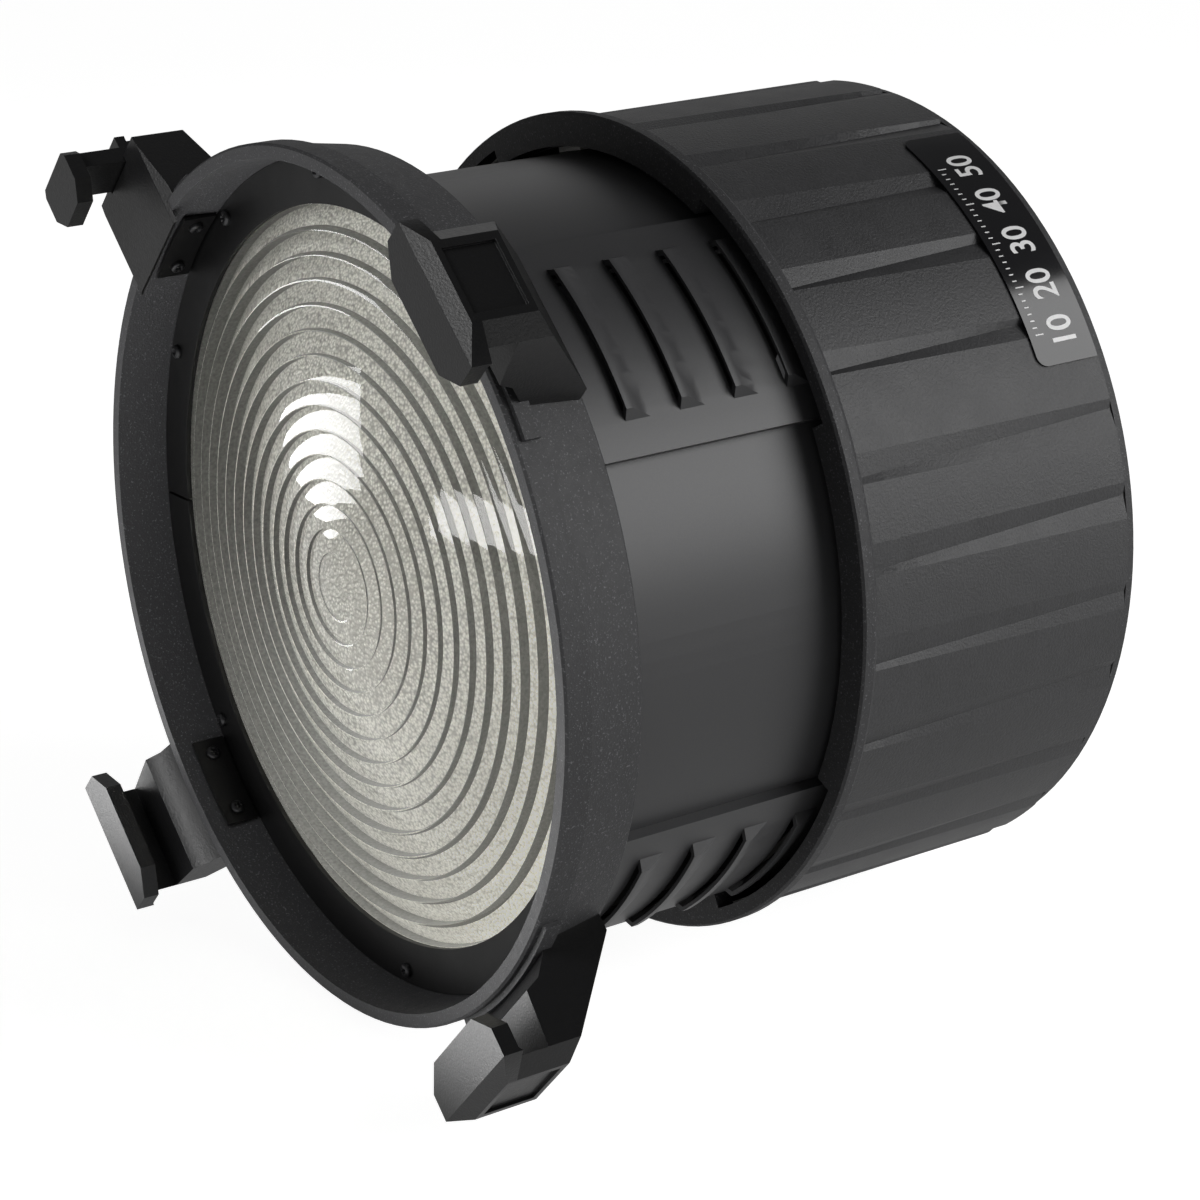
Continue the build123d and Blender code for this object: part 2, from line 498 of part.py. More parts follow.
# ---- latch spring: a stack of coils between the hook's bore and the guide pin's head ---------------
SPRING_R, SPRING_WIRE, SPRING_COILS = 3.15, 0.45, 7
spring_low, spring_high = BORE_FLOOR_H + SPRING_WIRE + 0.1, PIN_HEAD_H[0] - SPRING_WIRE - 0.1
coil_pitch = (spring_high - spring_low) / SPRING_COILS
coil_path = Helix(coil_pitch, spring_high - spring_low, SPRING_R)
coil = sweep((coil_path ^ 0) * Circle(SPRING_WIRE), path=coil_path, is_frenet=True)
save("latch_spring", at_latch(Pos(0, spring_low, PIN_AT_Z) * Rot(-90, 0, 0) * coil))
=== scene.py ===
import json
from math import cos, pi, radians, sin, sqrt

import bmesh
import bpy
from mathutils import Matrix, Vector


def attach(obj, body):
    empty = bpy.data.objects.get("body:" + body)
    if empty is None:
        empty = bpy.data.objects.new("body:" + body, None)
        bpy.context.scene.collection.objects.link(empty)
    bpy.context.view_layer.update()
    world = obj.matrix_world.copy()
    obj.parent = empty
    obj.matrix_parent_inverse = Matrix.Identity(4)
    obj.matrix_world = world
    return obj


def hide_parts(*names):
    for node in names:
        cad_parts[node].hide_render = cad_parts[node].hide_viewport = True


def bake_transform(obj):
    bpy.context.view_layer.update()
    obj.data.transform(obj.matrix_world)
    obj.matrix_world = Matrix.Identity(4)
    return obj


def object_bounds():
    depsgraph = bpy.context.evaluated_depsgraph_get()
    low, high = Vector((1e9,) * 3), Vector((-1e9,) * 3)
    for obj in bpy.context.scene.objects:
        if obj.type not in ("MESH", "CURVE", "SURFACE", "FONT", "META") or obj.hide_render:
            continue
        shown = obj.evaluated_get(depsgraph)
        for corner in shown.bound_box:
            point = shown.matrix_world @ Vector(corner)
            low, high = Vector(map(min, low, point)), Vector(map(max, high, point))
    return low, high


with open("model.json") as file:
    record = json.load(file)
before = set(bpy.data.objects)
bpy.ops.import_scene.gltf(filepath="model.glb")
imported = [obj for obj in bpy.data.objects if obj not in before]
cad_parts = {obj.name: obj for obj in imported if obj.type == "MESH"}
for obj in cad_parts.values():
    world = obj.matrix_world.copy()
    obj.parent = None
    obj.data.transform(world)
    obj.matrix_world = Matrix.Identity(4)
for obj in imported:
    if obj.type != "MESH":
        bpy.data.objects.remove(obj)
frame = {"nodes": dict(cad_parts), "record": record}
cad_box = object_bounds()

# ---- camera and studio ---------------------------------------------------------------------------
# The head stands on a pale floor in white surroundings, seen from its right front, slightly above. A
# large soft box behind its right lights the drum and barrel. Smaller ones keep to the lens, or to the
# brackets and bezel, as a studio does with flags and cards.
CAMERA_AZIMUTH, CAMERA_ELEVATION, CAMERA_ROLL = radians(56.348), radians(17.041), radians(-2.110)
CAMERA_PLACE = (0.91953, -0.74168, 0.33233)
aim_right = Vector((cos(CAMERA_AZIMUTH), sin(CAMERA_AZIMUTH), 0))
aim_back = Vector((
    sin(CAMERA_AZIMUTH) * cos(CAMERA_ELEVATION),
    -cos(CAMERA_AZIMUTH) * cos(CAMERA_ELEVATION),
    sin(CAMERA_ELEVATION),
))
aim_up = aim_back.cross(aim_right)
rolled_right = aim_right * cos(CAMERA_ROLL) + aim_up * sin(CAMERA_ROLL)
rolled_up = aim_up * cos(CAMERA_ROLL) - aim_right * sin(CAMERA_ROLL)

lens_data = bpy.data.cameras.new("camera")
lens_data.sensor_width = 36
lens_data.lens = 98.816
lens_data.shift_x, lens_data.shift_y = 0.00763, -0.0453
lens_data.clip_start, lens_data.clip_end = 0.05, 30
camera = bpy.data.objects.new("camera", lens_data)
camera_turn = Matrix((rolled_right, rolled_up, aim_back)).transposed().to_4x4()
camera.matrix_world = Matrix.Translation(CAMERA_PLACE) @ camera_turn
bpy.context.collection.objects.link(camera)
bpy.context.scene.camera = camera


def soft_box(name, place, target, width, height, power, tilt=0):
    """A rectangular light at place that faces target, turned by tilt degrees in its own plane."""
    light = bpy.data.lights.new(name, "AREA")
    light.shape, light.size, light.size_y = "RECTANGLE", width, height
    light.energy = power
    box = bpy.data.objects.new(name, light)
    place, target = Vector(place), Vector(target)
    facing = (place - target).to_track_quat("Z", "Y").to_matrix().to_4x4()
    box.matrix_world = Matrix.Translation(place) @ facing @ Matrix.Rotation(radians(tilt), 4, "Z")
    box.visible_camera = False
    bpy.context.collection.objects.link(box)
    return box


def around(azimuth, elevation, distance):
    """A point seen from the head: azimuth 0 is straight in front, positive to its right side."""
    turn, rise = radians(azimuth), radians(elevation)
    level = cos(rise)
    return Vector(HEAD_MIDDLE) + distance * Vector((sin(turn) * level, -cos(turn) * level, sin(rise)))


def linked(box, state, *objects):
    """Lets a soft box reach only these objects ("INCLUDE"), or all but these ("EXCLUDE")."""
    listed = bpy.data.collections.new(box.name + "_objects")
    for obj in objects:
        listed.objects.link(obj)
    for entry in listed.collection_objects:
        entry.light_linking.link_state = state
    box.light_linking.receiver_collection = listed


HEAD_MIDDLE = (0, -0.12, 0)
CARD_PLACE = (-0.12, -0.40, cad_box[0][2])
lens_box = soft_box("lens_box", around(-60, 4, 1.65), HEAD_MIDDLE, 1.25, 0.50, 14, tilt=33)
lens_fill = soft_box("lens_fill", around(7, 8.5, 1.65), HEAD_MIDDLE, 0.88, 0.26, 6)
lens_front = soft_box("lens_front", around(-20, 46, 1.4), HEAD_MIDDLE, 1.3, 0.9, 26)
lens_front.visible_glossy = False
right_rear_box = soft_box("right_rear_box", around(127, 23, 1.7), HEAD_MIDDLE, 1.2, 1.2, 23)
soft_box("left_rear_box", around(-132, 30, 1.7), HEAD_MIDDLE, 1.2, 0.8, 1.6)
front_top_box = soft_box("front_top_box", around(8, 37, 1.6), HEAD_MIDDLE, 0.6, 0.5, 11)
front_card = soft_box("front_card", CARD_PLACE, (*CARD_PLACE[:2], 1), 0.46, 0.2, 1.6)


class Wire:
    """One output of a shader or geometry tree. Arithmetic on it adds the tree's Math nodes."""

    def __init__(self, tree, socket):
        self.tree, self.socket = tree, socket

    def math(self, operation, *values):
        terms = dict(enumerate((self,) + values))
        return self.tree.add("ShaderNodeMath", {"operation": operation}, terms)

    def __add__(self, other):
        return self.math("ADD", other)

    def __sub__(self, other):
        return self.math("SUBTRACT", other)

    def __rsub__(self, other):
        return (self * -1) + other

    def __mul__(self, other):
        return self.math("MULTIPLY", other)

    def __truediv__(self, other):
        return self.math("DIVIDE", other)

    def __mod__(self, other):
        return self.math("FLOORED_MODULO", other)

    def __lt__(self, other):
        return self.math("LESS_THAN", other)

    def __gt__(self, other):
        return self.math("GREATER_THAN", other)

    __radd__, __rmul__ = __add__, __mul__

    def held(self):
        """The value held between 0 and 1."""
        return self.math("MAXIMUM", 0.0).math("MINIMUM", 1.0)


class Tree:
    """Adds nodes to a tree: settings first, then the values or wires of the sockets."""

    def __init__(self, tree):
        self.tree = tree

    def add(self, kind, settings=None, sockets=None, output=0):
        node = self.tree.nodes.new(kind)
        for name, value in (settings or {}).items():
            setattr(node, name, value)
        for name, value in (sockets or {}).items():
            if isinstance(value, Wire):
                self.tree.links.new(value.socket, node.inputs[name])
            else:
                node.inputs[name].default_value = value
        return Wire(self, node.outputs[output])


class Finish(Tree):
    """A material of this head: a Principled surface with its pattern in the object's own space."""

    def __init__(self, name, **fixed):
        self.material = bpy.data.materials.new(name)
        self.material.use_nodes = True
        super().__init__(self.material.node_tree)
        self.surface = self.tree.nodes["Principled BSDF"]
        self.place = self.add("ShaderNodeTexCoord", output="Object")
        for socket, value in fixed.items():
            self.set(socket.replace("_", " ").title().replace("Ior", "IOR"), value)

    def set(self, socket, value):
        if isinstance(value, Wire):
            self.tree.links.new(value.socket, self.surface.inputs[socket])
        else:
            constant = (*value, 1) if isinstance(value, tuple) else value
            self.surface.inputs[socket].default_value = constant

    def noise(self, size, detail=2.0, rough=0.5):
        """Soft grain whose grains are about size metres across."""
        return self.add("ShaderNodeTexNoise", None, {
            "Vector": self.place, "Scale": 1 / size, "Detail": detail, "Roughness": rough})

    def cells(self, size):
        """Distance to the nearest of scattered points that lie about size metres apart."""
        return self.add("ShaderNodeTexVoronoi", None, {"Vector": self.place, "Scale": 1 / size})

    def blend(self, factor, first, second):
        return self.add("ShaderNodeMix", {"data_type": "RGBA"}, {
            0: factor, 6: (*first, 1), 7: (*second, 1)}, output=2)

    def colour(self, factor, first, second):
        self.set("Base Color", self.blend(factor, first, second))

    def relief(self, height, depth, strength=1.0):
        """Bump of the given depth in metres."""
        self.set("Normal", self.add("ShaderNodeBump", None, {
            "Height": height, "Distance": depth, "Strength": strength}))


studio = bpy.data.worlds.new("studio")
studio.use_nodes = True
bpy.context.scene.world = studio
bpy.context.scene.view_settings.view_transform = "Standard"
sky = Tree(studio.node_tree)
sky_way = sky.add("ShaderNodeTexCoord", output="Generated")
height = sky.add("ShaderNodeSeparateXYZ", None, {"Vector": sky_way}, output="Z")
seen = sky.add("ShaderNodeLightPath", output="Is Camera Ray")
glow = ((0.30 - height) * 1.2).held() * 0.35 + 0.10
strength = glow * (1 - seen) + seen
studio.node_tree.links.new(strength.socket, studio.node_tree.nodes["Background"].inputs["Strength"])
studio.node_tree.nodes["Background"].inputs["Color"].default_value = (1, 1, 1, 1)

floor_finish = Finish("studio_floor", roughness=0.9, emission_strength=1.0)
floor_seen = floor_finish.add("ShaderNodeLightPath", output="Is Camera Ray")
floor_finish.colour(floor_finish.noise(0.8), (0.40, 0.40, 0.40), (0.43, 0.43, 0.42))
floor_finish.set("Emission Color", floor_finish.blend(
    floor_seen, (0.42, 0.42, 0.42), (0.93, 0.93, 0.93)))
FLOOR_REACH, FLOOR_GAP = 6, 0.001
floor_z = cad_box[0][2] - FLOOR_GAP
floor_mesh = bpy.data.meshes.new("studio_floor")
floor_mesh.from_pydata([
    (x * FLOOR_REACH, y * FLOOR_REACH, floor_z) for x, y in ((-1, -1), (1, -1), (1, 1), (-1, 1))
], [], [(0, 1, 2, 3)])
floor_mesh.materials.append(floor_finish.material)
floor = bpy.data.objects.new("studio_floor", floor_mesh)
bpy.context.collection.objects.link(floor)

# ---- rear plate, bayonet and rear ring -----------------------------------------------------------
# A pressed steel plate in satin black carries the cast bayonet ring that the lamp locks into. The
# plate's edge is hidden by a moulded trim ring, and black screws hold the bayonet.


def shown(obj, body, slot, *replaced):
    """Registers a finished piece: the body it moves with and the nodes it stands for. Its record slot is
    not used.
    """
    if obj.name not in bpy.context.collection.objects:
        bpy.context.collection.objects.link(obj)
    if replaced:
        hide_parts(*replaced)
    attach(obj, body)
    return obj


def smooth(mesh, angle=30):
    """Smooth shading with sharp edges where faces meet at more than the angle."""
    mesh.polygons.foreach_set("use_smooth", [True] * len(mesh.polygons))
    mesh.set_sharp_from_angle(angle=radians(angle))


def settled(obj):
    """Applies the object's modifiers and leaves a plain mesh."""
    graph = bpy.context.evaluated_depsgraph_get()
    graph.update()
    mesh = bpy.data.meshes.new_from_object(obj.evaluated_get(graph), depsgraph=graph)
    obj.modifiers.clear()
    obj.data = mesh
    return obj


def slot_of(node):
    """The record's material slot of a node."""
    return next(part["material_slot"] for part in frame["record"]["subparts"] if part["node"] == node)


def eased(node, finish, width=0.0004, angle=28, segments=2):
    """The node's own shape with its edges rounded over, as every moulded or cast edge here is."""
    mesh = frame["nodes"][node].data.copy()
    mesh.name = node + "_piece"
    shape = bmesh.new()
    shape.from_mesh(mesh)
    bmesh.ops.remove_doubles(shape, verts=shape.verts, dist=2e-6)
    bmesh.ops.dissolve_limit(shape, angle_limit=radians(0.6), verts=shape.verts, edges=shape.edges)
    shape.to_mesh(mesh)
    shape.free()
    mesh.materials.clear()
    mesh.materials.append(finish.material)
    smooth(mesh, angle)
    piece = bpy.data.objects.new(node + "_piece", mesh)
    bpy.context.collection.objects.link(piece)
    if width:
        edge = piece.modifiers.new("eased", "BEVEL")
        edge.width, edge.segments, edge.limit_method = width, segments, "ANGLE"
        edge.angle_limit = radians(angle)
        settled(piece)
        smooth(piece.data, angle)
        faces = piece.modifiers.new("level_faces", "WEIGHTED_NORMAL")
        faces.keep_sharp, faces.weight = True, 100
        settled(piece)
    bodies = frame["record"]["behaviour"]["bodies"]
    body = next(name for name, nodes in bodies.items() if node in nodes)
    return shown(piece, body, slot_of(node), node)


def carried(finish, *nodes):
    """CAD nodes that keep their own mesh and get this finish."""
    for node in nodes:
        data = frame["nodes"][node].data
        data.materials.clear()
        data.materials.append(finish.material)


black_sheet = Finish("satin_black_sheet")
dust = (black_sheet.cells(0.0021) < 0.055) * (black_sheet.noise(0.006) > 0.57)
black_sheet.colour(dust * 0.5, (0.0075, 0.0075, 0.008), (0.16, 0.16, 0.15))
black_sheet.set("Roughness", 0.36 + black_sheet.noise(0.012, 3) * 0.16)
black_sheet.relief(black_sheet.noise(0.0004), 0.00003, 0.5)

black_casting = Finish("black_casting", metallic=0.6)
black_casting.colour(
    black_casting.noise(0.0015, 4), (0.028, 0.028, 0.030), (0.040, 0.040, 0.042))
black_casting.set("Roughness", 0.34 + black_casting.noise(0.004, 3) * 0.2)
black_casting.relief(black_casting.noise(0.0007, 3), 0.00004)

speckled_plastic = Finish("speckled_plastic")
grain = speckled_plastic.noise(0.00075, 2, 0.6)
flecks = (grain - 0.60) * 9
speckled_plastic.colour(flecks.held(), (0.020, 0.020, 0.0215), (0.100, 0.100, 0.106))
speckled_plastic.set("Roughness", 0.56 + speckled_plastic.noise(0.003) * 0.16)
speckled_plastic.relief(grain, 0.00016)

eased("rear_plate", black_sheet, 0.0003)
eased("bayonet_ring", black_casting, 0.0005)
eased("rear_ring", speckled_plastic, 0.0003)

# ---- guide rails, pads and glide rings inside the drum -------------------------------------------
# Four anodised rail segments keep the barrel from turning, and natural acetal pads and rings carry
# it. They are only seen through the rear bore and with the barrel drawn back.
anodised = Finish("black_anodised", metallic=0.85)
anodised.colour(anodised.noise(0.002, 3), (0.030, 0.030, 0.033), (0.042, 0.042, 0.046))
anodised.set("Roughness", 0.33 + anodised.noise(0.0006, 2) * 0.14)
acetal = Finish("natural_acetal")
acetal.colour(acetal.noise(0.004, 3), (0.66, 0.65, 0.61), (0.74, 0.73, 0.69))
acetal.set("Roughness", 0.38 + acetal.noise(0.001) * 0.12)
black_steel = Finish("black_steel", metallic=0.9)
black_steel.colour(black_steel.noise(0.0012, 3), (0.018, 0.018, 0.019), (0.05, 0.05, 0.05))
black_steel.set("Roughness", 0.30 + black_steel.noise(0.0005) * 0.2)
carried(anodised, "guide_rails", "cam_sleeve", "barrel_stiffener")
carried(acetal, "front_glide_pads", "rear_glide_pads", "front_glide_ring", "rear_glide_ring",
        "guide_rollers", "cam_rollers")
carried(black_steel, "tie_bolts", "bayonet_screws", "panel_screws", "tube_screws", "tab_screws")

# ---- front flange --------------------------------------------------------------------------------
# The drum's moulded collar, with a keyway for each vent panel, in the bezel's speckled plastic.
eased("front_flange", speckled_plastic, 0.0005)

# ---- rubber grip ---------------------------------------------------------------------------------
# A moulded rubber sleeve on the cam. Its outside is cut by long tapered flutes: each has a light and
# a steep flank that trade widths from the front edge to the rear one, so a hand finds hold anywhere.
GRIP_R, GRIP_IN_R = 0.1423, 0.1404
GRIP_FRONT, GRIP_REAR = 0.1164, 0.0076
FLUTES, FLUTE_COLUMNS, GRIP_ROWS = 28, 12, 13
END_ROWS = 2              # rows at each end of the sleeve for its rounded rim and its inner wall
FLUTE_DEPTH, RIM_EASE, RIM_DROP = 0.0017, 0.0005, 0.0006

grip_rubber = Finish("grip_rubber", specular_ior_level=0.5)
fine = grip_rubber.noise(0.0009, 3, 0.6)
cloud = grip_rubber.noise(0.011, 3)
wear = ((fine - 0.5) * 1.5 + (cloud - 0.5) * 0.9 + 0.5).held()
grip_rubber.colour(wear, (0.014, 0.014, 0.015), (0.034, 0.034, 0.036))
grip_rubber.set("Roughness", 0.46 + cloud * 0.14)
grip_rubber.relief(fine, 0.00022)

grip_tree = bpy.data.node_groups.new("fluted_grip", "GeometryNodeTree")
grip_inputs = {
    "Flutes": FLUTES, "Columns": FLUTE_COLUMNS, "Rows": GRIP_ROWS, "Outer Radius": GRIP_R,
    "Inner Radius": GRIP_IN_R, "Front": GRIP_FRONT, "Rear": GRIP_REAR, "Depth": FLUTE_DEPTH, "Seed": 5,
}


def open_tree(tree, inputs):
    """Declares a geometry tree's sockets and returns its input wires and its builder."""
    tree.interface.new_socket("Geometry", in_out="OUTPUT", socket_type="NodeSocketGeometry")
    for name, value in inputs.items():
        kind = {int: "NodeSocketInt", float: "NodeSocketFloat"}.get(type(value), "NodeSocketObject")
        tree.interface.new_socket(name, in_out="INPUT", socket_type=kind)
    build = Tree(tree)
    entry = tree.nodes.new("NodeGroupInput")
    return build, {name: Wire(build, entry.outputs[name]) for name in inputs}


def close_tree(build, geometry, finish):
    """Ends a geometry tree in Realize Instances and Set Material."""
    real = build.add("GeometryNodeRealizeInstances", None, {"Geometry": geometry})
    painted = build.add("GeometryNodeSetMaterial", None, {
        "Geometry": real, "Material": finish.material})
    way_out = build.tree.nodes.new("NodeGroupOutput")
    build.tree.links.new(painted.socket, way_out.inputs["Geometry"])


def grown(name, tree, inputs):
    """Runs a geometry tree on an empty object and keeps its result as a plain mesh."""
    piece = bpy.data.objects.new(name, bpy.data.meshes.new(name))
    bpy.context.collection.objects.link(piece)
    growth = piece.modifiers.new(name, "NODES")
    growth.node_group = tree
    for item in tree.interface.items_tree:
        if item.in_out == "INPUT" and item.name in inputs:
            growth[item.identifier] = inputs[item.name]
    return settled(piece)


build, given = open_tree(grip_tree, grip_inputs)
column_count = given["Flutes"] * given["Columns"] + 1
rows_all = given["Rows"] + 2 * END_ROWS
grid = build.add("GeometryNodeMeshGrid", None, {
    "Size X": 1.0, "Size Y": 1.0, "Vertices X": column_count, "Vertices Y": rows_all})
index = build.add("GeometryNodeInputIndex")
row = index % rows_all
column = ((index - row) / rows_all).math("ROUND")
step = column % given["Columns"]
flute = (column - step) / given["Columns"]
wrapped = flute % given["Flutes"]
along = ((row - END_ROWS) / (given["Rows"] - 1)).held()


def chance(low, high, salt):
    """A fixed random number for each flute."""
    return build.add("FunctionNodeRandomValue", {"data_type": "FLOAT"}, {
        2: low, 3: high, "ID": wrapped, "Seed": given["Seed"] + salt}, output=1)


light_flank = chance(0.03, 0.07, 0) + along * chance(0.13, 0.24, 1)
dark_flank = chance(0.20, 0.30, 2) - along * chance(0.12, 0.20, 3)
flute_start = chance(0.36, 0.50, 4) - along * 0.06
flute_floor = flute_start + light_flank
flute_end = flute_floor + dark_flank
share = (
    flute_start * (step / 5).held()
    + light_flank * ((step - 5) / 2).held()
    + dark_flank * ((step - 7) / 2).held()
    + (1 - flute_end) * ((step - 9) / 3).held()
)
cut = (1 - (step - 7).math("ABSOLUTE") / 2).held() * given["Depth"] * chance(0.65, 1.0, 6)
angle = (flute + share) / given["Flutes"] * (2 * pi)
last_row = rows_all - 1
inside = (row < 0.5) + (row > last_row - 0.5)
rim = (row < 1.5) + (row > last_row - 1.5) - inside
outer_radius = given["Outer Radius"] - cut - rim * RIM_DROP
radius = outer_radius * (1 - inside) + given["Inner Radius"] * inside
fluted_length = given["Front"] - given["Rear"] - 2 * RIM_EASE
station = given["Front"] - along * fluted_length - RIM_EASE
station = station + ((row < 1.5) - (row > last_row - 1.5)) * RIM_EASE
at = build.add("ShaderNodeCombineXYZ", None, {
    "X": radius * angle.math("COSINE"), "Y": station * -1, "Z": radius * angle.math("SINE")})
shaped = build.add("GeometryNodeSetPosition", None, {"Geometry": grid, "Position": at})
closed = build.add("GeometryNodeMergeByDistance", None, {"Geometry": shaped, "Distance": 0.000005})
close_tree(build, closed, grip_rubber)
grip = grown("grip_rubber_sleeve", grip_tree, grip_inputs)


def outward(mesh, angle):
    """Turns all faces of a closed shell outwards and shades it."""
    shape = bmesh.new()
    shape.from_mesh(mesh)
    bmesh.ops.remove_doubles(shape, verts=shape.verts, dist=1e-6)
    bmesh.ops.recalc_face_normals(shape, faces=shape.faces)
    shape.to_mesh(mesh)
    shape.free()
    smooth(mesh, angle)


grip_shape = bmesh.new()
grip_shape.from_mesh(grip.data)
open_edges = [edge for edge in grip_shape.edges if edge.is_boundary]
bmesh.ops.bridge_loops(grip_shape, edges=open_edges)
grip_shape.to_mesh(grip.data)
grip_shape.free()
outward(grip.data, 3.2)
shown(grip, "grip", "grip_rubber", "grip_sleeve")

# ---- dial label ----------------------------------------------------------------------------------
# A gloss black film bonded to the rear of the grip, with a pale focus scale: generic numbers and
# ticks, printed proud of the film.
LABEL_R, LABEL_THICK = 0.14305, 0.0006
LABEL_FROM, LABEL_TO = radians(27.2), radians(66.8)
LABEL_REAR, LABEL_FRONT = 0.0088, 0.0342
FRONT_CORNER, REAR_CORNER = 0.004, 0.0006
LABEL_STRIPS = 60         # flat strips that the film bends in

label_gloss = Finish("label_gloss", specular_ior_level=0.4)
label_gloss.colour(label_gloss.noise(0.02, 3), (0.006, 0.006, 0.007), (0.010, 0.010, 0.011))
label_gloss.set("Roughness", 0.10 + label_gloss.noise(0.0008) * 0.06)
scale_print = Finish("scale_print")
scale_print.colour(scale_print.noise(0.001, 3), (0.62, 0.62, 0.62), (0.74, 0.74, 0.74))
scale_print.set("Roughness", 0.42 + scale_print.noise(0.0005) * 0.1)


def wrapped_on(radius, across, station):
    """A point of a flat sheet, across metres along the circumference, laid on a cylinder."""
    turn = across / radius
    return Vector((radius * cos(turn), -station, radius * sin(turn)))


label_outline = []
for corner_across, corner_station, reach, start in (
    (LABEL_TO * LABEL_R - FRONT_CORNER, LABEL_FRONT - FRONT_CORNER, FRONT_CORNER, 0),
    (LABEL_FROM * LABEL_R + FRONT_CORNER, LABEL_FRONT - FRONT_CORNER, FRONT_CORNER, 90),
    (LABEL_FROM * LABEL_R + REAR_CORNER, LABEL_REAR + REAR_CORNER, REAR_CORNER, 180),
    (LABEL_TO * LABEL_R - REAR_CORNER, LABEL_REAR + REAR_CORNER, REAR_CORNER, 270),
):
    for turn in (radians(start + 15 * k) for k in range(7)):
        label_outline.append((corner_across + reach * cos(turn), corner_station + reach * sin(turn)))
label_shape = bmesh.new()
label_shape.faces.new([label_shape.verts.new((x, y, 0)) for x, y in label_outline])
for k in range(1, LABEL_STRIPS):
    cut_at = (LABEL_FROM + (LABEL_TO - LABEL_FROM) * k / LABEL_STRIPS) * LABEL_R
    bmesh.ops.bisect_plane(
        label_shape, geom=label_shape.verts[:] + label_shape.edges[:] + label_shape.faces[:],
        plane_co=(cut_at, 0, 0), plane_no=(1, 0, 0))
raised = bmesh.ops.extrude_face_region(label_shape, geom=label_shape.faces[:])["geom"]
for vert in raised:
    if isinstance(vert, bmesh.types.BMVert):
        vert.co.z = LABEL_THICK
for vert in label_shape.verts:
    film_r = LABEL_R - LABEL_THICK + vert.co.z
    vert.co = wrapped_on(film_r, vert.co.x * film_r / LABEL_R, vert.co.y)
label_mesh = bpy.data.meshes.new("dial_label_film")
label_shape.to_mesh(label_mesh)
label_shape.free()
label_mesh.materials.append(label_gloss.material)
outward(label_mesh, 30)
shown(bpy.data.objects.new("dial_label_film", label_mesh), "grip", "label_film", "dial_label")

# the numbers are raised print, read along the circumference from the lower end of the label
NUMBER_SIZE, NUMBER_NARROWING, NUMBER_WEIGHT = 0.014175, 0.82, 0.0002
PRINT_R = LABEL_R + 0.00005
FIRST_MARK, MARK_STEP, TICK_STEP, TICKS_PER_MARK = 31.6, 7.0, 1.0, 7
NUMBER_STATION, TICK_STATION, TICK_HALF = 0.0195, 0.0315, 0.00022
LONG_TICK, SHORT_TICK = 0.0035, 0.0018
SCALE_NUMBERS = ("10", "20", "30", "40", "50")
number_shape = bmesh.new()
for place, digits in enumerate(SCALE_NUMBERS):
    mark_angle = FIRST_MARK + MARK_STEP * place
    text = bpy.data.curves.new("number", "FONT")
    text.body, text.size, text.offset = digits, NUMBER_SIZE, NUMBER_WEIGHT
    text.align_x, text.align_y = "CENTER", "CENTER"
    carrier = bpy.data.objects.new("number", text)
    bpy.context.collection.objects.link(carrier)
    flat = bpy.data.meshes.new_from_object(carrier)
    bpy.data.objects.remove(carrier)
    letters = bmesh.new()
    letters.from_mesh(flat)
    for vert in letters.verts:
        across = radians(mark_angle) * PRINT_R + vert.co.x * NUMBER_NARROWING
        vert.co = wrapped_on(PRINT_R, across, NUMBER_STATION + vert.co.y)
    letters.to_mesh(flat)
    letters.free()
    number_shape.from_mesh(flat)
    bpy.data.meshes.remove(flat)
for k in range(TICKS_PER_MARK * (len(SCALE_NUMBERS) - 1) + 1):
    tick_across = radians(FIRST_MARK + TICK_STEP * k) * PRINT_R
    tick_end = TICK_STATION - (SHORT_TICK if k % TICKS_PER_MARK else LONG_TICK)
    number_shape.faces.new([
        number_shape.verts.new(wrapped_on(PRINT_R, tick_across + side * TICK_HALF, end))
        for side, end in ((-1, TICK_STATION), (1, TICK_STATION), (1, tick_end), (-1, tick_end))])
number_mesh = bpy.data.meshes.new("dial_scale_print")
number_shape.to_mesh(number_mesh)
number_shape.free()
number_mesh.materials.append(scale_print.material)
for polygon in number_mesh.polygons:
    outside = Vector((polygon.center.x, 0, polygon.center.z))
    if polygon.normal.dot(outside) < 0:
        polygon.flip()
shown(bpy.data.objects.new("dial_scale_print", number_mesh), "grip", "label_film")

# ---- barrel tube and vent panels -----------------------------------------------------------------
# A spun tube with four raised pressed panels, all in one smooth satin black coat. Each panel's four
# louvres open towards the bezel.
barrel_coat = Finish("satin_barrel_coat", specular_ior_level=0.5)
barrel_coat.colour(barrel_coat.noise(0.0006, 2), (0.024, 0.024, 0.0255), (0.034, 0.034, 0.0355))
barrel_coat.set("Roughness", 0.40 + barrel_coat.noise(0.0005) * 0.06)
barrel_coat.relief(barrel_coat.noise(0.0005, 2), 0.00003, 0.5)
eased("barrel_tube", barrel_coat, 0)
for place in ("top_right", "top_left", "bottom_left", "bottom_right"):
    eased("vent_panel_" + place, barrel_coat, 0.0006)

# ---- front bezel ---------------------------------------------------------------------------------
# The two-tier housing of the lens, moulded in the same speckled plastic as the flange.
bezel = eased("front_bezel", speckled_plastic, 0.0007, segments=3)

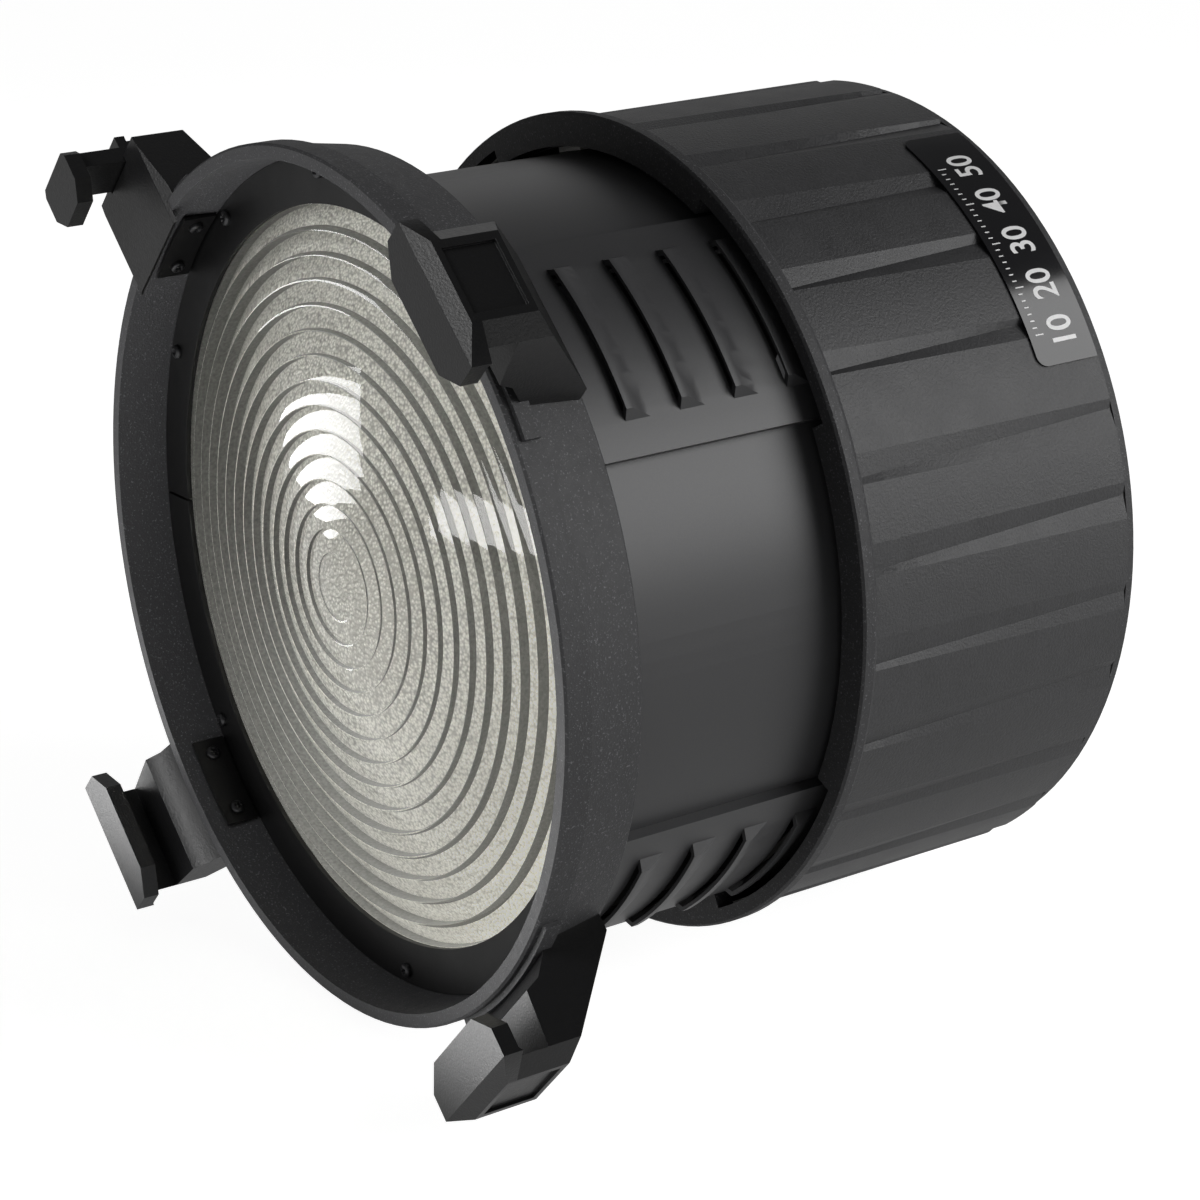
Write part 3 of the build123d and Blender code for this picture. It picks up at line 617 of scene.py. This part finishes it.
# ---- lens ----------------------------------------------------------------------------------------
# Pressed glass, clear in front: a small dome in the middle, and stepped rings round it that get
# deeper outwards. The flat back is stippled, which spreads the beam and gives the glass its warm grey.
LENS_BACK, LENS_EDGE, LENS_R, LENS_VIEW_R = 0.2144, 0.2191, 0.1343, 0.1270
DOME_EDGE, DOME_RISE, BUTTON_RISE, BUTTON_POINTS = 0.2196, 0.0124, 0.0009, 6
RING_PITCH, RING_COUNT, RIM_LAND = 0.0082, 14, 0.0006
CENTRE_STEP, RISE_GROWTH, DROP_GROWTH = 0.0006, 0.0028, 0.0048
RISER_DRAFT, CREST_ROUND = 0.00012, 0.0002
LENS_TURNS = 288

lens_clear = Finish("lens_clear_glass", roughness=0.02, transmission_weight=1.0, ior=1.50)
lens_clear.colour(lens_clear.noise(0.05), (0.97, 0.97, 0.95), (0.99, 0.99, 0.97))
lens_stipple = Finish("lens_stippled_back", metallic=0.5, emission_strength=1.0)
stipple = lens_stipple.cells(0.0011)
across = lens_stipple.add("ShaderNodeSeparateXYZ", None, {"Vector": lens_stipple.place}, output="X")
upward = lens_stipple.add("ShaderNodeSeparateXYZ", None, {"Vector": lens_stipple.place}, output="Z")
from_axis = (across * across + upward * upward) / LENS_VIEW_R ** 2
# the stipple's own tone, plus painted shade that darkens the back towards the middle
stipple_and_painted_centre_shade = ((stipple - 0.25) * 1.6 + (0.14 - from_axis).held() * 4).held()
lens_stipple.colour(stipple_and_painted_centre_shade, (0.98, 0.97, 0.91), (0.50, 0.49, 0.45))
lens_stipple.set("Roughness", 0.42 + stipple * 0.1)
lens_stipple.relief(stipple, 0.0004)
# painted glow: the stippled back's emission stands in for the light of the room that comes through from
# behind, strongest towards the lower right rim
side = (across * 0.18 - upward * 0.14) / LENS_VIEW_R
painted_glow_from_behind = (from_axis * (0.24 + side) - stipple * 0.05).held()
lens_stipple.set("Emission Color", lens_stipple.blend(
    painted_glow_from_behind, (0.01, 0.01, 0.009), (1.0, 0.98, 0.88)))
# painted shade: the risers are clear glass, drawn here as an opaque dark grey that stands in for the shade
# seen through them
lens_riser_painted_shade = Finish("lens_dark_risers")
lens_riser_painted_shade.colour(lens_riser_painted_shade.noise(0.0012, 3), (0.06, 0.06, 0.057), (0.30, 0.30, 0.28))
lens_riser_painted_shade.set("Roughness", 0.22 + lens_riser_painted_shade.noise(0.0008) * 0.2)


def turned_shell(name, profile, turns, finishes):
    """Spins a closed (radius, station, finish number) outline about the beam axis."""
    mesh = bpy.data.meshes.new(name)
    points, faces, marks = [], [], []
    for radius, station, _ in profile:
        for k in range(turns):
            turn = 2 * pi * k / turns
            points.append((radius * cos(turn), -station, radius * sin(turn)))
    for j in range(len(profile) - 1):
        here, beyond = j * turns, (j + 1) * turns
        for k in range(turns):
            after = (k + 1) % turns
            faces.append((here + k, here + after, beyond + after, beyond + k))
            marks.append(profile[j][2])
    mesh.from_pydata(points, [], faces)
    for finish in finishes:
        mesh.materials.append(finish.material)
    mesh.polygons.foreach_set("material_index", marks)
    return mesh


def dome(radius):
    """Station of the curve that the steps follow."""
    return DOME_EDGE + DOME_RISE * (1 - (radius / LENS_VIEW_R) ** 2)


GLASS, STIPPLE, RISER = range(3)
ring_radii = [
    LENS_VIEW_R - RIM_LAND - RING_PITCH * (RING_COUNT - k) for k in range(RING_COUNT + 1)]
lens_profile = []
for k in range(BUTTON_POINTS + 1):
    at_r = ring_radii[0] * k / BUTTON_POINTS
    height = BUTTON_RISE * (1 - (k / BUTTON_POINTS) ** 2)
    lens_profile.append((at_r, dome(at_r) + height, RISER if k == BUTTON_POINTS else GLASS))
for inner, outer in zip(ring_radii[:-1], ring_radii[1:]):
    rise = (CENTRE_STEP + RISE_GROWTH * outer / LENS_VIEW_R) / 2
    drop = CENTRE_STEP + DROP_GROWTH * outer / LENS_VIEW_R
    for share_out in (0, 0.05, 0.25, 0.5, 0.75, 1):
        crest = CREST_ROUND * (sin(pi * share_out) - (share_out == 0))
        at_r = inner + RISER_DRAFT + (outer - inner - RISER_DRAFT) * share_out
        station = dome(at_r) + rise - drop * share_out + crest
        lens_profile.append((at_r, station, RISER if share_out == 1 else GLASS))
lens_profile += [
    (LENS_VIEW_R - 0.0002, LENS_EDGE + 0.0003, GLASS),
    (LENS_R - 0.0002, LENS_EDGE, GLASS),
    (LENS_R, LENS_EDGE - 0.0003, GLASS),
    (LENS_R, LENS_BACK, STIPPLE),
    (0.0, LENS_BACK, STIPPLE),
]
lens_mesh = turned_shell(
    "stepped_lens", lens_profile, LENS_TURNS, (lens_clear, lens_stipple, lens_riser_painted_shade))
outward(lens_mesh, 25)
lens = bpy.data.objects.new("stepped_lens", lens_mesh)
shown(lens, "barrel", "lens_glass", "fresnel_lens")
for box in (lens_box, lens_fill, lens_front):
    linked(box, "INCLUDE", lens)

seal_rubber = Finish("seal_rubber")
seal_rubber.colour(seal_rubber.noise(0.001), (0.012, 0.012, 0.012), (0.02, 0.02, 0.02))
seal_rubber.set("Roughness", 0.7 + seal_rubber.noise(0.002) * 0.1)
carried(seal_rubber, "lens_gasket")

# ---- lens retainer, backing plates and their screws ----------------------------------------------
# Two half rings of black sheet clamp the lens, and a bent plate behind each bracket spreads its load
# on the bezel's wall. Both are held by small cross-recessed pan heads.
for half_ring in ("lens_retainer_upper", "lens_retainer_lower"):
    eased(half_ring, black_sheet, 0.0002)
eased("backing_plates", black_sheet, 0.00015)

zinc_steel = Finish("dark_zinc_steel", metallic=0.95)
zinc_steel.colour(zinc_steel.noise(0.0012, 3), (0.05, 0.05, 0.052), (0.16, 0.16, 0.165))
zinc_steel.set("Roughness", 0.26 + zinc_steel.noise(0.0006) * 0.2)
carried(zinc_steel, "follower_pins", "latch_guide_pin")

SCREW_R, SCREW_HIGH, SCREW_SPOKES = 0.0026, 0.0018, 24
CROSS_HALF, CROSS_REACH, CROSS_DEPTH = 0.00042, 0.5, 0.62
RETAINER_SCREW_R, RETAINER_SCREW_Z = 0.138, 0.2213
RETAINER_SCREWS = (36, 96, 126, 156, 216, 276, 306, 336)
BRACKET_SCREW_R, BRACKET_SCREW_Z, BRACKET_SCREW_SIDE = 0.14175, 0.2282, 4.7
HEAD_PROFILE = (
    (1.0, 0.0), (1.0, 0.45), (0.93, 0.72), (0.78, 0.88), (0.58, 0.97), (0.40, 1.0), (0.22, 1.0), (0.0, 1.0))


def pan_head():
    """A pan head with a cross recess, standing on z = 0 and looking along +z."""
    head = bmesh.new()
    loops = []
    for reach, rise in HEAD_PROFILE:
        loop = []
        for k in range(SCREW_SPOKES):
            turn = 2 * pi * k / SCREW_SPOKES
            x, y = SCREW_R * reach * cos(turn), SCREW_R * reach * sin(turn)
            in_cross = reach < CROSS_REACH and min(abs(x), abs(y)) < CROSS_HALF
            loop.append(head.verts.new((x, y, SCREW_HIGH * (rise - CROSS_DEPTH * in_cross))))
        loops.append(loop)
    for lower, upper in zip(loops[:-1], loops[1:]):
        for k in range(SCREW_SPOKES):
            after = (k + 1) % SCREW_SPOKES
            head.faces.new((lower[k], lower[after], upper[after], upper[k]))
    bmesh.ops.remove_doubles(head, verts=head.verts, dist=1e-7)
    mesh = bpy.data.meshes.new("pan_head")
    head.to_mesh(mesh)
    head.free()
    smooth(mesh, 35)
    return bpy.data.objects.new("pan_head", mesh)


def repeated(name, master, places, finish, body, slot, *replaced):
    """Sets one master on every place; a place is a point, the way it faces, and its turn."""
    marks = bpy.data.meshes.new(name + "_marks")
    marks.from_pydata([spot for spot, _, _ in places], [], [])
    facing = marks.attributes.new("facing", "FLOAT_VECTOR", "POINT")
    for k, (_, way, turn) in enumerate(places):
        pose = Vector(way).to_track_quat("Z", "Y").to_matrix() @ Matrix.Rotation(turn, 3, "Z")
        facing.data[k].vector = pose.to_euler()
    marks_object = bpy.data.objects.new(name + "_marks", marks)
    bpy.context.collection.objects.link(marks_object)
    bpy.context.collection.objects.link(master)
    tree = bpy.data.node_groups.new(name, "GeometryNodeTree")
    inputs = {"Places": marks_object, "Master": master, "Size": 1.0}
    build, given = open_tree(tree, inputs)
    spots, shape = (
        build.add("GeometryNodeObjectInfo", None, {"Object": given[source]}, output="Geometry")
        for source in ("Places", "Master"))
    way = build.add("GeometryNodeInputNamedAttribute", {"data_type": "FLOAT_VECTOR"}, {
        "Name": "facing"})
    turned = build.add("FunctionNodeEulerToRotation", None, {"Euler": way})
    size = build.add("ShaderNodeCombineXYZ", None, {axis: given["Size"] for axis in "XYZ"})
    set_out = build.add("GeometryNodeInstanceOnPoints", None, {
        "Points": spots, "Instance": shape, "Rotation": turned, "Scale": size})
    close_tree(build, set_out, finish)
    piece = grown(name, tree, inputs)
    for helper in (marks_object, master):
        bpy.data.objects.remove(helper)
    smooth(piece.data, 35)
    return shown(piece, body, slot, *replaced)


def polar(radius, station, angle):
    turn = radians(angle)
    return (radius * cos(turn), -station, radius * sin(turn))


repeated("retainer_screw_heads", pan_head(), [
    (polar(RETAINER_SCREW_R, RETAINER_SCREW_Z, angle), (0, -1, 0), radians(angle * 7))
    for angle in RETAINER_SCREWS
], zinc_steel, "barrel", "zinc_steel", "retainer_screws")
repeated("bracket_screw_heads", pan_head(), [
    (polar(BRACKET_SCREW_R, BRACKET_SCREW_Z, angle), polar(-1, 0, angle), radians(angle * 5))
    for diagonal in (45, 135, 225, 315)
    for angle in (diagonal - BRACKET_SCREW_SIDE, diagonal + BRACKET_SCREW_SIDE)
], zinc_steel, "barrel", "zinc_steel", "bracket_screws")

# ---- accessory hooks and the sprung latch --------------------------------------------------------
# Die-cast hooks in fine textured black powder coat. The fourth is a latch whose hook slides out on a
# pin against a coil spring.
bracket_coat = Finish("textured_bracket_coat", specular_ior_level=0.5)
orange_peel = bracket_coat.noise(0.0008, 2, 0.55)
bracket_coat.colour(orange_peel, (0.005, 0.005, 0.0055), (0.010, 0.010, 0.0105))
bracket_coat.set("Roughness", 0.36 + bracket_coat.noise(0.0016) * 0.12)
bracket_coat.relief(orange_peel, 0.00010)
lower_hooks, upper_hooks = (
    [eased(node, bracket_coat, 0.0005, segments=3) for node in nodes] for nodes in (
        ("hook_bracket_bottom_left", "hook_bracket_bottom_right"),
        ("hook_bracket_top_right", "latch_bracket", "latch_hook", "latch_thumb_tab"),
    ))
linked(right_rear_box, "EXCLUDE", *lower_hooks, *upper_hooks)
linked(front_top_box, "INCLUDE", bezel, *lower_hooks, *upper_hooks)
linked(front_card, "INCLUDE", bezel, *lower_hooks)

spring_steel = Finish("spring_steel", metallic=1.0)
spring_steel.colour(spring_steel.noise(0.001), (0.42, 0.42, 0.43), (0.5, 0.5, 0.51))
spring_steel.set("Roughness", 0.28 + spring_steel.noise(0.0004) * 0.1)
# the coil's outer end stays still and its inner end moves out with the hook, so it shortens; here the coil
# is only a fixed copy of its CAD shape, baked in place
spring = bpy.data.objects.new("latch_spring_coil", frame["nodes"]["latch_spring"].data.copy())
spring.data.materials.clear()
spring.data.materials.append(spring_steel.material)
bpy.context.collection.objects.link(spring)
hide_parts("latch_spring")
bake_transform(spring)
